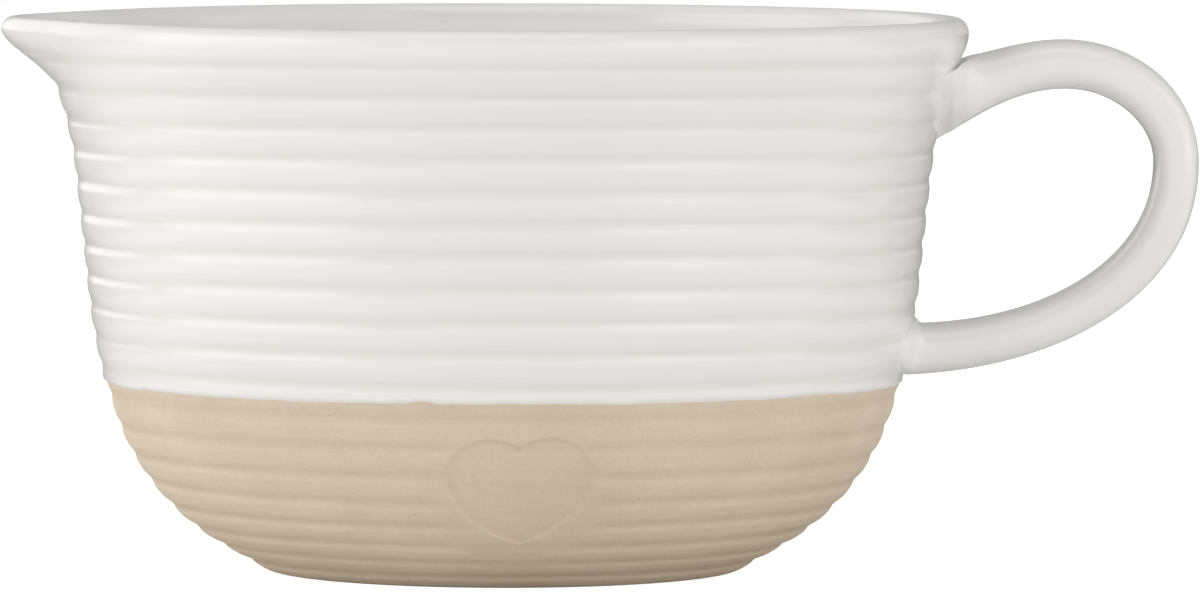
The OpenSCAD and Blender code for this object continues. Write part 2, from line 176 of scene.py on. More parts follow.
class CollarSettings(PropertyGroup):
    """Sizes of the slip collars that join the handle to the wall."""
    upper_top: length("Upper top", "Height of the upper collar's top", 108.4 * MM)
    upper_bottom: length("Upper bottom", "Height of the upper collar's bottom", 93 * MM)
    upper_width: length("Upper width", "Half width of the upper collar under the lip", 29 * MM)
    upper_narrow: length("Upper narrow", "Half width of the upper collar at its bottom", 5 * MM)
    upper_run: length("Upper run", "Length of the upper flare along the handle", 6.5 * MM)
    lower_top: length("Lower top", "Height of the lower collar's top", 54.1 * MM)
    lower_bottom: length("Lower bottom", "Height of the lower collar's bottom", 42.5 * MM)
    lower_width: length("Lower width", "Half width of the lower collar", 19 * MM)
    lower_run: length("Lower run", "Length of the lower flare along the handle", 3.4 * MM)
    ridge: length("Ridge", "How far the finger-smoothed ridge stands out", 0.35 * MM)


class HeartSettings(PropertyGroup):
    """Sizes of the stamped heart."""
    width: length("Width", "Width of the heart", 30.9 * MM)
    height: length("Height", "Height of the heart, along the wall", 27 * MM)
    depth: length("Depth", "Depth below the middle of the ribs", 0.9 * MM)
    middle: length("Middle", "Height of the heart's middle above the table", 21.3 * MM)
    turn: angle("Turn", "Turn of the heart from the front towards the handle", 3.1)
    tilt: angle("Tilt", "Tilt of the heart, its tip towards the handle", 1.6)
    lobe: share("Lobe share", "Radius of a lobe as a share of the width", 0.31)
    edge: length("Edge", "Width of the soft edge", 1.2 * MM)
    tip_slope: FloatProperty(name="Tip slope", description="Rise of the sides where they leave the tip",
                             default=0.45)
    calm: length("Calm", "Width of the smoothed clay round the heart", 4.5 * MM)


class FinishSettings(PropertyGroup):
    """Colours of the clay and the glaze."""
    glaze: colour("Glaze", "Warm white of the thick glaze", 240, 239, 237)
    # Thin glaze: the darker, warmer tone of uneven glaze, also used for painted shade in the outer glaze's
    # grooves
    thin_glaze_and_groove_shade: colour("Thin glaze", "Tone where the clay shows through the glaze", 231, 225, 220)
    clay: colour("Clay", "Bare fired stoneware", 226, 211, 191)
    # Dark clay: a deeper tone in random patches, and painted shade in the grooves of the bowl's clay
    dark_clay_and_groove_shade: colour("Dark clay", "Deeper tone of the clay, in patches and grooves", 211, 194, 171)
    grit: colour("Grit", "Dark grains in the clay", 150, 128, 104)
    slip: colour("Slip", "Fired slip of the joints", 222, 210, 190)


class StudioSettings(PropertyGroup):
    """Camera, lights and floor."""
    distance: length("Camera distance", "Distance of the camera in front of the bowl's middle", 2.155)
    camera_height: length("Camera height", "Height of the camera above the table", 0.1845)
    aim_across: length("Aim across", "Place across the bowl that the camera looks at", 0.0208)
    aim_height: length("Aim height", "Height that the camera looks at", 0.0588)
    focal_length: FloatProperty(name="Focal length", description="Lens in millimetres", default=300.5)
    roll: angle("Roll", "Roll of the camera", 0.12)
    ambient: FloatProperty(name="Ambient", description="Strength of the white room", default=0.42)
    left_power: FloatProperty(name="Left light", description="Watts of the left softbox", default=23)
    back_power: FloatProperty(name="Back light", description="Watts of the back left softbox", default=7)
    right_power: FloatProperty(name="Right light", description="Watts of the right softbox", default=7.5)
    top_power: FloatProperty(name="Top light", description="Watts of the top softbox", default=2.2)
    card_power: FloatProperty(name="Low light", description="Watts of the low front card", default=2.4)


class BatterBowlSettings(PropertyGroup):
    """Everything that shapes the batter bowl and its picture."""
    wall: PointerProperty(type=BowlWallSettings)
    lip: PointerProperty(type=LipSettings)
    ribs: PointerProperty(type=RibSettings)
    spout: PointerProperty(type=SpoutSettings)
    foot: PointerProperty(type=FootSettings)
    line: PointerProperty(type=GlazeLineSettings)
    handle: PointerProperty(type=HandleSettings)
    collars: PointerProperty(type=CollarSettings)
    heart: PointerProperty(type=HeartSettings)
    finish: PointerProperty(type=FinishSettings)
    studio: PointerProperty(type=StudioSettings)
    columns: IntProperty(name="Columns", description="Columns of a coat round the bowl", default=480)


def smooth_step(low, high, value):
    """0 below low, 1 above high, and a soft curve between."""
    t = np.clip((value - low) / (high - low), 0, 1)
    return t * t * (3 - 2 * t)


def outline_distance(x, y, outline):
    """Distance of points to a closed outline, negative inside it."""
    points = np.stack([x, y], -1)[..., None, :]
    start = np.asarray(outline)
    along = np.roll(start, -1, 0) - start
    t = np.clip(((points - start) * along).sum(-1) / (along ** 2).sum(-1), 0, 1)
    nearest = np.sqrt((((points - start) - t[..., None] * along) ** 2).sum(-1)).min(-1)
    end = np.roll(start, -1, 0)
    crosses = (start[:, 1] > y[..., None]) != (end[:, 1] > y[..., None])
    span = np.where(end[:, 1] == start[:, 1], 1, end[:, 1] - start[:, 1])
    cross_x = start[:, 0] + (y[..., None] - start[:, 1]) * along[:, 0] / span
    inside = (crosses & (x[..., None] < cross_x)).sum(-1) % 2 == 1
    return np.where(inside, -nearest, nearest)


class Bowl:
    """The faces of the thrown bowl. A place on the outer face is s, its distance along the wall
    from the lip's base."""

    TABLE_STEPS = 6000
    ABOVE_LIP = 15 * MM
    RIB_FADE = 3 * MM
    FAR_AWAY = 1.0
    # Share of a rib's height lost on the spout, between which shares of its pull, and round the heart
    SPOUT_CALM = 0.8
    SPOUT_PULL = (0.02, 0.4)
    HEART_CALM = 0.7
    HEART_STRETCH = 1.1

    def __init__(self, sizes):
        wall, lip, ribs = sizes.wall, sizes.lip, sizes.ribs
        self.sizes = sizes
        self.glaze = wall.glaze
        self.clay_rim = wall.rim_radius - wall.glaze
        self.round_z = wall.height - wall.glaze - lip.round_height
        self.base_z = wall.height - wall.glaze - lip.band_height
        self.swell_angle = math.asin((self.round_z - self.base_z) / lip.swell_radius)
        self.top_r = self.clay_rim - lip.swell_radius * (1 - math.cos(self.swell_angle)) + ribs.depth / 2
        flare_h = wall.flare_radius * (math.sin(wall.flare_lean) - math.sin(wall.wall_lean))
        slow_h = wall.slow_radius * (math.sin(wall.slow_lean) - math.sin(wall.wall_lean))
        quick_h = wall.quick_radius * (math.sin(wall.foot_lean) - math.sin(wall.slow_lean))
        straight_h = self.base_z - flare_h - slow_h - quick_h - wall.cone_height
        self.flare_s = wall.flare_radius * (wall.flare_lean - wall.wall_lean)
        self.straight_s = self.flare_s + straight_h / math.cos(wall.wall_lean)
        self.slow_s = self.straight_s + wall.slow_radius * (wall.slow_lean - wall.wall_lean)
        self.quick_s = self.slow_s + wall.quick_radius * (wall.foot_lean - wall.slow_lean)
        self.foot_s = self.quick_s + wall.cone_height / math.cos(wall.foot_lean)
        self.floor_s = self.slow_s + wall.quick_radius * (math.pi / 2 - wall.slow_lean)
        self.outer = self.trace(self.foot_s, wall.foot_lean)
        self.inner = self.trace(self.floor_s, math.pi / 2)
        self.foot_r = self.face(self.foot_s)[0]
        self.inner_top_s = np.interp(-self.round_z, -self.inner_face(self.inner[0], wall.thickness)[1],
                                     self.inner[0])
        self.lip_inner_r = self.inner_face(self.inner_top_s, wall.thickness)[0]

    def lean(self, s, last_lean):
        """Lean of the wall at s. The quick turn goes on until last_lean."""
        wall = self.sizes.wall
        return np.select(
            [s < self.flare_s, s < self.straight_s, s < self.slow_s],
            [wall.flare_lean - s / wall.flare_radius, np.full_like(s, wall.wall_lean),
             wall.wall_lean + (s - self.straight_s) / wall.slow_radius],
            np.minimum(last_lean, wall.slow_lean + (s - self.slow_s) / wall.quick_radius))

    def trace(self, last_s, last_lean):
        """Table of s, radius, height and lean along the middle of the ribbed face."""
        s = np.linspace(-self.ABOVE_LIP, last_s, self.TABLE_STEPS)
        middle = (s[1:] + s[:-1]) / 2
        step = s[1] - s[0]
        lean = self.lean(middle, last_lean)
        r = np.concatenate([[0], -np.cumsum(np.sin(lean)) * step])
        z = np.concatenate([[0], -np.cumsum(np.cos(lean)) * step])
        return (s, r - np.interp(0, s, r) + self.top_r, z - np.interp(0, s, z) + self.base_z,
                self.lean(s, last_lean))

    def s_at(self, z):
        """Place along the outer face at a height."""
        return np.interp(-z, -self.outer[2], self.outer[0])

    def rib(self, s):
        """Height of the ribbed face over its middle: narrow grooves between broad round ribs."""
        ribs = self.sizes.ribs
        phase = 2 * math.pi * s / ribs.pitch
        return -ribs.depth / 2 * (np.cos(phase) + ribs.groove * np.cos(2 * phase)) / (1 + ribs.groove)

    def face(self, s, out=0.0, rib=None):
        """Radius and height of the outer face at s, with out more on it."""
        table_s, table_r, table_z, table_lean = self.outer
        lean = np.interp(s, table_s, table_lean)
        rib = self.rib(s) if rib is None else rib
        return np.interp(s, table_s, table_r) + (rib + out) / np.cos(lean), np.interp(s, table_s, table_z)

    def inner_face(self, s, depth):
        """Radius and height of the inner face at s, deeper by depth than the ribbed face's middle."""
        table_s, table_r, table_z, table_lean = self.inner
        lean = np.interp(s, table_s, table_lean)
        return (np.interp(s, table_s, table_r) - depth * np.cos(lean),
                np.interp(s, table_s, table_z) + depth * np.sin(lean))

    def lip(self, steps, out):
        """The lip's swelling band, from its base up."""
        lip = self.sizes.lip
        a = self.swell_angle * (1 - np.linspace(0, 1, steps + 1)[1:])
        return (self.clay_rim + out - lip.swell_radius * (1 - np.cos(a)),
                self.round_z - lip.swell_radius * np.sin(a))

    def crest(self, start, end, steps, out):
        """The lip's round top, from start to end degrees: 0 outside, 90 on the crest, 180 inside."""
        a = np.radians(np.linspace(start, end, steps + 1))
        half = (self.clay_rim - self.lip_inner_r) / 2
        return (self.clay_rim - half + (half + out) * np.cos(a),
                self.round_z + (self.sizes.lip.round_height + out) * np.sin(a))

    def wall_radius(self, z):
        """Radius of the ribbed face's middle at a height."""
        return np.interp(self.s_at(z), self.outer[0], self.outer[1])

    def bulge(self, theta, z):
        """The spout's outward pull."""
        spout = self.sizes.spout
        crest = self.sizes.wall.height
        u = smooth_step(crest - spout.depth, crest - spout.full_height, z)
        a = np.abs(np.mod(theta, 2 * math.pi) - math.pi)
        ease = np.cos(np.clip(a / spout.half_angle, 0, 1) * math.pi / 2)
        return spout.reach * u * ease ** (spout.low_power + (spout.power - spout.low_power) * u)

    def rib_offset(self, theta, s, z):
        """How far along the wall the thrower's hand moved the ribs."""
        ribs = self.sizes.ribs
        saddle = ribs.saddle * smooth_step(ribs.saddle_low, ribs.saddle_high, z)
        turns = s / ribs.pitch
        wander = np.sin(2 * theta + 1.9 * turns) + 0.7 * np.sin(3 * theta - 1.1 * turns + 0.8)
        return -saddle * np.cos(2 * theta) + ribs.wander * wander

    def rib_keep(self, theta, r, z):
        """Share of a rib's height that is left beside the collars, round the heart and on the spout."""
        heart = self.sizes.heart
        across = r * np.sin(theta)
        beside = np.where(np.cos(theta) > 0, np.minimum(
            outline_distance(across, z, upper_collar_outline(self.sizes)),
            outline_distance(across, z, lower_collar_outline(self.sizes))), self.FAR_AWAY)
        pulled = self.bulge(theta, z) / self.sizes.spout.reach
        round_heart = np.hypot((theta + math.pi / 2 - heart.turn) * r,
                               self.HEART_STRETCH * (z - heart.middle))
        calm = 1 - smooth_step(heart.width / 2, heart.width / 2 + heart.calm, round_heart)
        return (smooth_step(0, self.RIB_FADE, beside)
                * (1 - self.SPOUT_CALM * smooth_step(*self.SPOUT_PULL, pulled))
                * (1 - self.HEART_CALM * calm))

    def ribbed(self, theta, s, out):
        """Radius, height and groove depth of the outer face, with its hand-made unevenness."""
        plain_r, z = self.face(s, 0, 0)
        rib = self.rib(s + self.rib_offset(theta, s, z)) * self.rib_keep(theta, plain_r, z)
        r = self.face(s, out, rib)[0]
        return r, z, 0.5 - rib / self.sizes.ribs.depth

    def place(self, theta, r, z):
        """Points in space, with the spout's pull."""
        r = r + self.bulge(theta, z)
        return np.stack([r * np.cos(theta), r * np.sin(theta), z + 0 * r], -1)


def rows(theta, r, z):
    """Plain rows round the bowl from a radius and a height for each row."""
    return np.asarray(r)[:, None] + 0 * theta, np.asarray(z)[:, None] + 0 * theta


SHARP_ANGLE = math.radians(50)


def ring_mesh(name, grid, closed, pole_start=None, pole_end=None, groove=None):
    """A mesh of rings round the bowl or along the handle. Closed joins the last ring to the first,
    and a pole closes an end with a fan."""
    ring_count, column_count = grid.shape[:2]
    points = grid.reshape(-1, 3)
    index = np.arange(ring_count * column_count).reshape(ring_count, column_count)
    if closed:
        index = np.vstack([index, index[:1]])
    around = np.roll(index, -1, 1)
    faces = np.stack([index[:-1], around[:-1], around[1:], index[1:]], -1).reshape(-1, 4).tolist()
    extra = []
    for pole, ring, next_ring in ((pole_start, index[0], around[0]), (pole_end, around[-1], index[-1])):
        if pole is not None:
            tip = len(points) + len(extra)
            extra.append(pole)
            faces += [[tip, int(b), int(a)] for a, b in zip(ring, next_ring)]
    if extra:
        points = np.vstack([points, extra])
    mesh = bpy.data.meshes.new(name)
    mesh.from_pydata(points.tolist(), [], faces)
    if groove is not None:
        values = np.concatenate([np.asarray(groove).reshape(-1), np.zeros(len(extra))])
        # The groove depth, which the shaders turn into painted shade in the grooves
        mesh.attributes.new("groove", "FLOAT", "POINT").data.foreach_set("value", values.astype(np.float32))
    work = bmesh.new()
    work.from_mesh(mesh)
    bmesh.ops.recalc_face_normals(work, faces=work.faces)
    work.to_mesh(mesh)
    work.free()
    mesh.shade_smooth()
    mesh.set_sharp_from_angle(angle=SHARP_ANGLE)
    piece = bpy.data.objects.new(name, mesh)
    bpy.context.scene.collection.objects.link(piece)
    return piece


def stand_for(piece, material, slot, *nodes):
    """The piece takes its material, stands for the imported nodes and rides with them."""
    piece.data.materials.append(material)
    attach(piece, "root")
    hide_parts(*nodes)


class Nodes:
    """A short way to put a shader together."""

    def __init__(self, name):
        self.material = bpy.data.materials.new(name)
        self.material.use_nodes = True
        self.tree = self.material.node_tree
        self.shader = self.tree.nodes["Principled BSDF"]
        self.place = self.tree.nodes.new("ShaderNodeTexCoord").outputs["Object"]

    def add(self, kind, inputs=(), **settings):
        """A node with its settings, its sockets filled or linked, and its outputs ready to use."""
        node = self.tree.nodes.new(kind)
        for key, value in settings.items():
            setattr(node, key, value)
        for key, value in dict(inputs).items():
            self.feed(node.inputs[key], value)
        return node

    def feed(self, socket, value):
        """Sets a socket, or links it where the value is another node's output."""
        if isinstance(value, bpy.types.NodeSocket):
            self.tree.links.new(value, socket)
        else:
            socket.default_value = value

    def stretched(self, x, y, z):
        """The place on the object, stretched along its axes."""
        return self.add("ShaderNodeMapping", {"Vector": self.place, "Scale": (x, y, z)}).outputs["Vector"]

    def noise(self, scale, detail=3.0, roughness=0.5, place=None):
        """Soft cloudy noise."""
        node = self.add("ShaderNodeTexNoise", {"Vector": place or self.place, "Scale": scale,
                                               "Detail": detail, "Roughness": roughness})
        return node.outputs["Fac"]

    def specks(self, scale, size):
        """Sparse round grains: 1 in a grain and 0 beside it."""
        cells = self.add("ShaderNodeTexVoronoi", {"Vector": self.place, "Scale": scale})
        pick = self.add("ShaderNodeSeparateColor", {"Color": cells.outputs["Color"]}).outputs["Red"]
        near = self.between(cells.outputs["Distance"], size, size * 0.6, 0.0, 1.0)
        chosen = self.between(pick, 0.965, 0.975, 0.0, 1.0)
        return self.add("ShaderNodeMath", {0: near, 1: chosen}, operation="MULTIPLY").outputs[0]

    def between(self, value, from_low, from_high, to_low, to_high):
        """A value moved from one range to another."""
        node = self.add("ShaderNodeMapRange", {"Value": value, "From Min": from_low, "From Max": from_high,
                                               "To Min": to_low, "To Max": to_high})
        return node.outputs["Result"]

    def mix(self, factor, one, two):
        """A colour between two."""
        node = self.tree.nodes.new("ShaderNodeMix")
        node.data_type = "RGBA"
        self.feed(node.inputs[0], factor)
        self.feed(node.inputs[6], one if isinstance(one, bpy.types.NodeSocket) else (*one, 1))
        self.feed(node.inputs[7], two if isinstance(two, bpy.types.NodeSocket) else (*two, 1))
        return node.outputs[2]

    def groove(self):
        """How deep in a groove the surface is, from 0 on a rib to 1."""
        return self.add("ShaderNodeAttribute", attribute_name="groove").outputs["Fac"]

    def bump(self, height, distance, strength=1.0, normal=None):
        """A bump that is distance high."""
        inputs = {"Height": height, "Distance": distance, "Strength": strength}
        if normal is not None:
            inputs["Normal"] = normal
        return self.add("ShaderNodeBump", inputs).outputs["Normal"]


def glaze_material(name, finish):
    """Glossy warm-white glaze, softly uneven, with painted shade that makes it darker and warmer in the
    grooves.
    """
    nodes = Nodes(name)
    cloud = nodes.between(nodes.noise(22, 4), 0.35, 0.7, 0.0, 0.22)
    # Painted shade: the outer glaze is toned darker and warmer in its grooves
    glaze_groove_shade = nodes.between(nodes.groove(), 0.55, 1.0, 0.0, 0.55)
    factor = nodes.add("ShaderNodeMath", {0: cloud, 1: glaze_groove_shade}, operation="ADD", use_clamp=True).outputs[0]
    nodes.feed(nodes.shader.inputs["Base Color"], nodes.mix(factor, finish.glaze, finish.thin_glaze_and_groove_shade))
    nodes.feed(nodes.shader.inputs["Roughness"], nodes.between(nodes.noise(35, 3), 0.3, 0.7, 0.13, 0.19))
    ripple = nodes.bump(nodes.noise(45, 2), 0.25 * MM)
    nodes.feed(nodes.shader.inputs["Normal"], nodes.bump(nodes.noise(900, 1), 0.004 * MM, 1.0, ripple))
    nodes.shader.inputs["IOR"].default_value = 1.52
    return nodes.material


def clay_material(name, finish, main, deep):
    """Matt stoneware: cloudy tone, fine grain, sparse dark grit and faint turning marks. Deep is the darker
    tone of its random patches and of painted shade in the grooves.
    """
    nodes = Nodes(name)
    cloud = nodes.between(nodes.noise(38, 5, 0.6), 0.3, 0.72, 0.0, 0.55)
    bands = nodes.between(nodes.noise(60, 4, 0.6, nodes.stretched(1, 1, 16)), 0.35, 0.7, 0.0, 0.25)
    grain = nodes.between(nodes.noise(1500, 2, 0.7), 0.3, 0.75, 0.0, 0.4)
    # Painted shade: the clay is toned darker in the grooves
    deeper = nodes.between(nodes.groove(), 0.4, 1.0, 0.0, 0.25)
    total = cloud
    for part in (bands, grain, deeper):
        total = nodes.add("ShaderNodeMath", {0: total, 1: part}, operation="ADD", use_clamp=True).outputs[0]
    tone = nodes.mix(total, main, deep)
    grit = nodes.between(nodes.specks(620, 0.2), 0.0, 1.0, 0.0, 0.25)
    nodes.feed(nodes.shader.inputs["Base Color"], nodes.mix(grit, tone, finish.grit))
    nodes.feed(nodes.shader.inputs["Roughness"], nodes.between(nodes.noise(800, 2), 0.2, 0.8, 0.72, 0.92))
    marks = nodes.bump(nodes.noise(90, 3, 0.6, nodes.stretched(1, 1, 22)), 0.05 * MM)
    nodes.feed(nodes.shader.inputs["Normal"], nodes.bump(nodes.noise(2200, 2, 0.8), 0.03 * MM, 1.0, marks))
    nodes.shader.inputs["Specular IOR Level"].default_value = 0.3
    return nodes.material


# Degrees below level where a lobe of the heart runs over into its side, and the groove depth, from
# 0 to 1, that the stamped floor is toned as
LOBE_END = 20
STAMPED_TONE = 0.45


def heart_outline(heart):
    """The stamped heart, as points across and up the wall from its middle: two round lobes with
    sides that curve in to a blunt tip."""
    lobe_r = heart.width * heart.lobe
    lobe_x = heart.width / 2 - lobe_r
    tip = lobe_r - heart.height
    start = math.pi - math.acos(lobe_x / lobe_r)
    end = -math.radians(LOBE_END)
    a = np.linspace(start, end, 30)
    lobe = np.stack([lobe_x + lobe_r * np.cos(a), lobe_r * np.sin(a)], -1)
    reach = ((lobe[-1, 1] - tip - heart.tip_slope * lobe[-1, 0])
             / (math.cos(end) + heart.tip_slope * math.sin(end)))
    bend = lobe[-1] + reach * np.array([math.sin(end), -math.cos(end)])
    t = np.linspace(0, 1, 20)[1:, None]
    side = lobe[-1] * (1 - t) ** 2 + bend * 2 * t * (1 - t) + np.array([0, tip]) * t * t
    half = np.vstack([lobe, side])
    whole = np.vstack([half, (half * (-1, 1))[-2:0:-1]]) + (0, heart.height / 2 - lobe_r)
    turned = [[math.cos(heart.tilt), math.sin(heart.tilt)], [-math.sin(heart.tilt), math.cos(heart.tilt)]]
    return whole @ np.array(turned)


def stamp_heart(bowl, theta, s, r, z, groove):
    """Presses the heart into the rows of the ribbed face."""
    heart = bowl.sizes.heart
    middle_s = bowl.s_at(heart.middle)
    middle_r = np.interp(middle_s, bowl.outer[0], bowl.outer[1])
    lean = np.interp(middle_s, bowl.outer[0], bowl.outer[3])
    turned = theta + math.pi / 2 - heart.turn
    across = r * np.sin(turned)
    up = (r * np.cos(turned) - middle_r) * math.sin(lean) + (z - heart.middle) * math.cos(lean)
    near = (np.abs(across) < heart.width) & (np.abs(up) < heart.height) & (np.cos(turned) > 0)
    distance = np.full(r.shape, heart.width)
    distance[near] = outline_distance(across[near], up[near], heart_outline(heart))
    pressed = smooth_step(-heart.edge / 2, heart.edge / 2, -distance)
    floor_r = bowl.face(s, -heart.depth, 0)[0]
    return r + (floor_r - r) * pressed, groove * (1 - pressed) + STAMPED_TONE * pressed


# Edges of the collars: how the upper one widens, how full it is above and below its middle, and how
# square the lower one is across and up
WIDENING = 1.15
FULL_ABOVE, FULL_BELOW = 0.35, 0.6
SQUARE_ACROSS, SQUARE_UP = 2.2, 2.4


def upper_collar_outline(sizes, count=64):
    """The upper collar's edge on the wall, as points across and up: wide under the lip, pointed below."""
    collars = sizes.collars
    a = 2 * math.pi * np.arange(count) / count
    middle = (collars.upper_top + collars.upper_bottom) / 2
    up = squared(np.sin(a), sizes.handle.section_power) * (collars.upper_top - collars.upper_bottom) / 2
    t = (middle + up - collars.upper_bottom) / (collars.upper_top - collars.upper_bottom)
    wider = (collars.upper_width - collars.upper_narrow) * np.clip(t, 0, 1) ** WIDENING
    half = collars.upper_narrow + wider
    bow = np.where(np.sin(a) > 0, FULL_ABOVE, FULL_BELOW)
    return np.stack([np.sign(np.cos(a)) * np.abs(np.cos(a)) ** bow * half, middle + up], -1)


def lower_collar_outline(sizes, count=64):
    """The lower collar's edge on the wall, as points across and up. It starts on its lower side,
    as the handle's sections do there."""
    collars = sizes.collars
    a = -2 * math.pi * np.arange(count) / count
    middle = (collars.lower_top + collars.lower_bottom) / 2
    half_height = (collars.lower_top - collars.lower_bottom) / 2
    return np.stack([collars.lower_width * squared(np.cos(a), SQUARE_ACROSS),
                     middle + half_height * squared(np.sin(a), SQUARE_UP)], -1)


def squared(value, power):
    """A sine or cosine drawn out, so that a circle becomes an oval with flattened sides."""
    return np.sign(value) * np.abs(value) ** (2 / power)


class Loop:
    """The handle's middle line, from the upper root at u = 0 over the highest point at 1 and the
    outermost point at 2 to the lower root at 3, and its sections."""

    ROOT_INSET = 10 * MM
    ROOT_PULL = 10 * MM
    APEX_PULL = 12 * MM
    SECTION_POINTS = 80
    COLLAR_STEPS = 20
    LOOP_STEPS = 110
    EMBED = 0.25 * MM
    SIDE_INSET = 0.3 * MM
    DIRECTION_STEP = 0.01
    HALVINGS = 40
    # Places u between which the sections leave the wall's slant, take it up again, and taper
    UPPER_SLANT = (0.1, 0.95)
    LOWER_SLANT = (2.3, 2.9)
    TAPER_RANGE = (1.4, 2.0)
    # Weights of a collar's curve: how far off the wall it stays, and how far it has flared
    OFF_WALL_EARLY, OFF_WALL_LATE = 0.3, 0.5
    FLARE_LATE = 0.9
    # Where the ridge stands along a collar, how broad it is, and its height at each root
    RIDGE_PLACE = 0.62
    RIDGE_SPREAD = 0.12
    UPPER_RIDGE_FACTOR = 1.8
    LOWER_RIDGE_FACTOR = 0.8

    def __init__(self, bowl):
        sizes, handle = bowl.sizes, bowl.sizes.handle
        self.bowl = bowl
        self.handle = handle
        rim = sizes.wall.rim_radius
        half = handle.thickness / 2 + sizes.wall.glaze
        self.start = np.array([rim - self.ROOT_INSET, handle.root_height])
        self.apex = np.array([rim + handle.apex_reach, HANDLE_HIGH.z - half - handle.taper / 2])
        self.side = np.array([HANDLE_HIGH.x - half - self.SIDE_INSET, handle.side_height])
        inner_r = bowl.face(bowl.straight_s, 0, 0)[0] - sizes.wall.thickness
        self.end = np.array([inner_r, handle.low_height])

    def point(self, u):
        """The middle line at u, across and up."""
        if u < 1:
            rise = self.handle.root_rise
            a, d = self.start, self.apex
            b = a + self.ROOT_PULL * np.array([math.cos(rise), math.sin(rise)])
            c = d - (self.APEX_PULL, 0)
            return a * (1 - u) ** 3 + b * 3 * u * (1 - u) ** 2 + c * 3 * u * u * (1 - u) + d * u ** 3
        turn = (u - 1 if u < 2 else u - 2) * math.pi / 2
        if u < 2:
            return np.array([self.apex[0] + (self.side[0] - self.apex[0]) * math.sin(turn),
                             self.side[1] + (self.apex[1] - self.side[1]) * math.cos(turn)])
        power = self.handle.fullness
        return np.array([self.end[0] + (self.side[0] - self.end[0]) * squared(math.cos(turn), power),
                         self.side[1] - (self.side[1] - self.end[1]) * squared(math.sin(turn), power)])

    def slant(self, u):
        """Slant of a section at u, so that the sections meet the wall in line with it."""
        wall = self.bowl
        upper = self.handle.root_rise + np.interp(wall.s_at(self.start[1]), wall.outer[0], wall.outer[3])
        lower = np.interp(wall.s_at(self.end[1]), wall.outer[0], wall.outer[3])
        return (upper * (1 - smooth_step(*self.UPPER_SLANT, u))
                + lower * smooth_step(*self.LOWER_SLANT, u))

    def section(self, u, out):
        """A closed section at u, grown by out, from the far side over the outer face."""
        handle = self.handle
        along = self.point(u + self.DIRECTION_STEP) - self.point(u - self.DIRECTION_STEP)
        along /= np.linalg.norm(along)
        a = 2 * math.pi * np.arange(self.SECTION_POINTS) / self.SECTION_POINTS
        half_t = (handle.thickness + handle.taper * (1 - smooth_step(*self.TAPER_RANGE, u))
                  + handle.root_thickness * max(0, 1 - u) ** 3
                  + handle.low_thickness * max(0, u - 2) ** 4) / 2
        half_w = (handle.width + handle.root_width * max(0, 1 - u) ** 2
                  + handle.low_width * max(0, u - 2) ** 4) / 2
        rise = (half_t + out) * squared(np.sin(a), handle.section_power)
        across = (half_w + out) * squared(np.cos(a), handle.section_power)
        shift = rise * math.tan(self.slant(u))
        middle = self.point(u)
        return np.stack([middle[0] - rise * along[1] + shift * along[0], across,
                         middle[1] + rise * along[0] + shift * along[1]], -1)

    def gap(self, u):
        """Distance of the middle line from the wall at u."""
        place = self.point(u)
        return place[0] - self.bowl.wall_radius(place[1])

    def u_at(self, upper, run):
        """Place on the loop at which its middle line is run away from the wall."""
        inside, outside = (0.0, 1.0) if upper else (3.0, 2.0)
        for _ in range(self.HALVINGS):
            middle = (inside + outside) / 2
            if self.gap(middle) > run:
                outside = middle
            else:
                inside = middle
        return inside

    def on_wall(self, across, up, out):
        """Points on the wall at places across and up, grown by out."""
        return np.stack([np.sqrt((self.bowl.wall_radius(up) + out) ** 2 - across ** 2), across, up], -1)

    def collar(self, upper, out):
        """Rings of a flared root: from the handle's section, out over a rounded ridge, to the wall.
        The ridge stands out on the strap's two sides only."""
        sizes = self.bowl.sizes
        run = sizes.collars.upper_run if upper else sizes.collars.lower_run
        u = self.u_at(upper, run)
        start = self.section(u, out)
        outline = (upper_collar_outline if upper else lower_collar_outline)(sizes, self.SECTION_POINTS)
        from_middle = outline - outline.mean(0)
        outline = outline + out * from_middle / np.linalg.norm(from_middle, axis=1)[:, None]
        edge = self.on_wall(outline[:, 0], outline[:, 1], out - self.EMBED)
        behind = self.section(self.u_at(upper, 0), out)
        outwards = start - start.mean(0)
        outwards /= np.linalg.norm(outwards, axis=1)[:, None]
        factor = self.UPPER_RIDGE_FACTOR if upper else self.LOWER_RIDGE_FACTOR
        beside = outwards[:, 1:2] ** 2 * sizes.collars.ridge * factor
        rings = []
        for t in np.linspace(0, 1, self.COLLAR_STEPS + 1):
            back = 1 - t
            off_wall = (back ** 3 + 3 * back * back * t * self.OFF_WALL_EARLY
                        + 3 * back * t * t * self.OFF_WALL_LATE)
            flare = 3 * back * t * t * self.FLARE_LATE + t ** 3
            ridge = beside * math.exp(-((t - self.RIDGE_PLACE) / self.RIDGE_SPREAD) ** 2)
            rings.append(behind + (start - behind) * off_wall + (edge - behind) * flare + ridge * outwards)
        return u, rings

    def skin(self, under):
        """Rings over the whole handle, from the upper collar's edge to the lower one's, and as far
        under the glaze as asked."""
        out = self.bowl.glaze
        upper_u, upper = self.collar(True, out)
        lower_u, lower = self.collar(False, out)
        middle = [self.section(u, out) for u in np.linspace(upper_u, lower_u, self.LOOP_STEPS + 1)]
        rings = np.array(upper[::-1] + middle[1:-1] + lower)
        across = np.roll(rings, -1, 1) - np.roll(rings, 1, 1)
        normal = np.cross(np.gradient(rings, axis=0), across)
        normal /= np.linalg.norm(normal, axis=2)[:, :, None]
        halfway = len(rings) // 2
        outwards = rings[halfway] - rings[halfway].mean(0)
        return rings - under * normal * np.sign((normal[halfway] * outwards).sum())


def even_columns(count):
    """Directions round the bowl."""
    return 2 * math.pi * np.arange(count) / count


